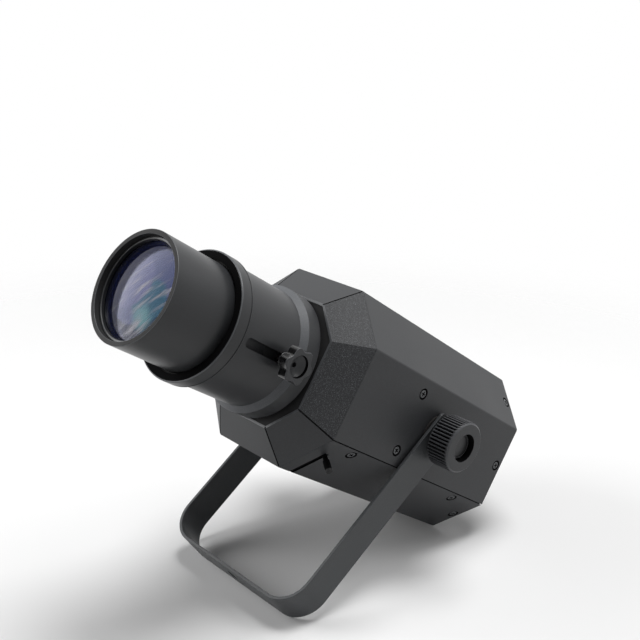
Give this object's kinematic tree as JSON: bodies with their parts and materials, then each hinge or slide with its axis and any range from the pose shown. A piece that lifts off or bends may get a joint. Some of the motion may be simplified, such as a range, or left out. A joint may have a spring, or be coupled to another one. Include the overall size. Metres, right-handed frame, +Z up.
{
  "type": "profile spotlight",
  "caption": "Ellipsoidal profile spotlight with an octagonal metal housing, faceted nose, sliding lens tube with a star focus knob, iris lever and a tilting U yoke with clamp knobs.",
  "frame": {"origin": "middle of the foot: centre of the whole spotlight's box in X and Y, at the level of the surface that the crossbar of the yoke and the rear edge of the tray stand on", "axes": "+X to the right as seen from the lens end, the side with the star knob and the iris lever; +Y to the rear; +Z up"},
  "size_m": [0.24, 0.4568, 0.3535],
  "materials": {
    "housing_coat": "fine powder coat, dark grey",
    "nose_coat": "coarse powder coat over cast aluminium, dark grey",
    "black_coat": "matt black coat",
    "barrel_coat": "satin dark coat over turned aluminium",
    "lens_glass": "coated lens glass with violet and blue reflections",
    "ring_steel": "plain steel",
    "black_steel": "blackened steel",
    "gloss_plastic": "glossy black plastic",
    "knob_plastic": "satin dark grey plastic",
    "black_plastic": "matt black plastic",
    "inner_metal": "plain aluminium",
    "led_face": "light engine face, yellow emitter",
    "board_green": "circuit board",
    "washer_fibre": "pressed fibre",
    "yoke_coat": "fine powder coat, mid grey"
  },
  "bodies": {
    "yoke": {"yoke": "yoke_coat"},
    "housing": {"upper_cover": "housing_coat", "lower_tray": "housing_coat", "nose_cone": "nose_coat", "front_plate": "black_coat", "lens_sleeve": "barrel_coat", "gate_plate": "black_coat", "iris_cage": "black_coat", "engine_bracket": "inner_metal", "reflector": "inner_metal", "led_board": "led_face", "heat_sink": "inner_metal", "fan_frame": "black_plastic", "power_supply": "inner_metal", "rear_panel": "housing_coat", "control_board": "board_green", "display": "gloss_plastic", "data_inlet": "black_plastic", "data_outlet": "black_plastic", "power_inlet": "black_plastic", "power_outlet": "black_plastic", "safety_eye": "ring_steel", "friction_washer_right": "washer_fibre", "friction_washer_left": "washer_fibre", "screw_side_upper_right": "black_steel", "screw_side_upper_left": "black_steel", "screw_side_lower_right": "black_steel", "screw_side_lower_left": "black_steel", "screw_side_rear_right": "black_steel", "screw_side_rear_left": "black_steel", "screw_top_rear_right": "black_steel", "screw_top_rear_left": "black_steel", "screw_tray_rear_right": "black_steel", "screw_tray_rear_left": "black_steel", "screw_lap_front_right": "black_steel", "screw_lap_front_left": "black_steel", "screw_lap_rear_right": "black_steel", "screw_lap_rear_left": "black_steel"},
    "lens_slider": {"lens_tube": "barrel_coat", "front_lens": "lens_glass", "lens_ring": "ring_steel"},
    "focus_knob": {"star_knob": "gloss_plastic", "focus_stud": "ring_steel"},
    "clamp_right": {"clamp_knob_right": "knob_plastic", "pivot_bolt_right": "ring_steel"},
    "clamp_left": {"clamp_knob_left": "knob_plastic", "pivot_bolt_left": "ring_steel"},
    "iris_lever": {"iris_ring": "black_steel"},
    "blade_1": {"iris_blade_1": "black_steel"},
    "blade_2": {"iris_blade_2": "black_steel"},
    "blade_3": {"iris_blade_3": "black_steel"},
    "blade_4": {"iris_blade_4": "black_steel"},
    "blade_5": {"iris_blade_5": "black_steel"},
    "blade_6": {"iris_blade_6": "black_steel"},
    "push_1": {"button_1": "black_plastic"},
    "push_2": {"button_2": "black_plastic"},
    "push_3": {"button_3": "black_plastic"},
    "push_4": {"button_4": "black_plastic"},
    "fan": {"fan_rotor": "black_plastic"}
  },
  "joints": [
    {"name": "yoke_tilt", "type": "hinge", "parent": "yoke", "child": "housing", "pos_m": [0, 0.06586, 0.13957], "axis": [1, 0, 0], "range_deg": [-265, 45]},
    {"name": "clamp_turn_right", "type": "hinge", "parent": "housing", "child": "clamp_right", "pos_m": [0.1, 0.06586, 0.13957], "axis": [1, 0, 0], "range_deg": [0, 360]},
    {"name": "clamp_turn_left", "type": "hinge", "parent": "housing", "child": "clamp_left", "pos_m": [-0.1, 0.06586, 0.13957], "axis": [-1, 0, 0], "range_deg": [0, 360]},
    {"name": "focus_slide", "type": "slide", "parent": "housing", "child": "lens_slider", "axis": [0, -0.8393, 0.5436], "range_m": [0, 0.042]},
    {"name": "focus_knob_turn", "type": "hinge", "parent": "lens_slider", "child": "focus_knob", "pos_m": [0.054, -0.09654, 0.24476], "axis": [1, 0, 0], "range_deg": [0, 360]},
    {"name": "iris_lever_swing", "type": "hinge", "parent": "housing", "child": "iris_lever", "pos_m": [0, -0.02948, 0.20133], "axis": [0, 0.8393, -0.5436], "range_deg": [0, 42]},
    {"name": "blade_pivot_1", "type": "hinge", "parent": "housing", "child": "blade_1", "pos_m": [0.034, -0.03527, 0.20508], "axis": [0, -0.8393, 0.5436], "range_deg": [0, 33.7]},
    {"name": "blade_pivot_2", "type": "hinge", "parent": "housing", "child": "blade_2", "pos_m": [0.017, -0.01927, 0.22979], "axis": [0, -0.8393, 0.5436], "range_deg": [0, 33.7]},
    {"name": "blade_pivot_3", "type": "hinge", "parent": "housing", "child": "blade_3", "pos_m": [-0.017, -0.01927, 0.22979], "axis": [0, -0.8393, 0.5436], "range_deg": [0, 33.7]},
    {"name": "blade_pivot_4", "type": "hinge", "parent": "housing", "child": "blade_4", "pos_m": [-0.034, -0.03527, 0.20508], "axis": [0, -0.8393, 0.5436], "range_deg": [0, 33.7]},
    {"name": "blade_pivot_5", "type": "hinge", "parent": "housing", "child": "blade_5", "pos_m": [-0.017, -0.05128, 0.18036], "axis": [0, -0.8393, 0.5436], "range_deg": [0, 33.7]},
    {"name": "blade_pivot_6", "type": "hinge", "parent": "housing", "child": "blade_6", "pos_m": [0.017, -0.05128, 0.18036], "axis": [0, -0.8393, 0.5436], "range_deg": [0, 33.7]},
    {"name": "button_press_1", "type": "slide", "parent": "housing", "child": "push_1", "axis": [0, -0.8393, 0.5436], "range_m": [0, 0.0015], "stiffness_N_per_m": 400},
    {"name": "button_press_2", "type": "slide", "parent": "housing", "child": "push_2", "axis": [0, -0.8393, 0.5436], "range_m": [0, 0.0015], "stiffness_N_per_m": 400},
    {"name": "button_press_3", "type": "slide", "parent": "housing", "child": "push_3", "axis": [0, -0.8393, 0.5436], "range_m": [0, 0.0015], "stiffness_N_per_m": 400},
    {"name": "button_press_4", "type": "slide", "parent": "housing", "child": "push_4", "axis": [0, -0.8393, 0.5436], "range_m": [0, 0.0015], "stiffness_N_per_m": 400},
    {"name": "fan_spin", "type": "hinge", "parent": "housing", "child": "fan", "pos_m": [0, 0.09146, 0.12299], "axis": [0, 0.8393, -0.5436], "continuous": true}
  ],
  "couplings": [
    {"joint": "blade_pivot_1", "follows": "iris_lever_swing", "ratio": 0.8},
    {"joint": "blade_pivot_2", "follows": "iris_lever_swing", "ratio": 0.8},
    {"joint": "blade_pivot_3", "follows": "iris_lever_swing", "ratio": 0.8},
    {"joint": "blade_pivot_4", "follows": "iris_lever_swing", "ratio": 0.8},
    {"joint": "blade_pivot_5", "follows": "iris_lever_swing", "ratio": 0.8},
    {"joint": "blade_pivot_6", "follows": "iris_lever_swing", "ratio": 0.8}
  ]
}
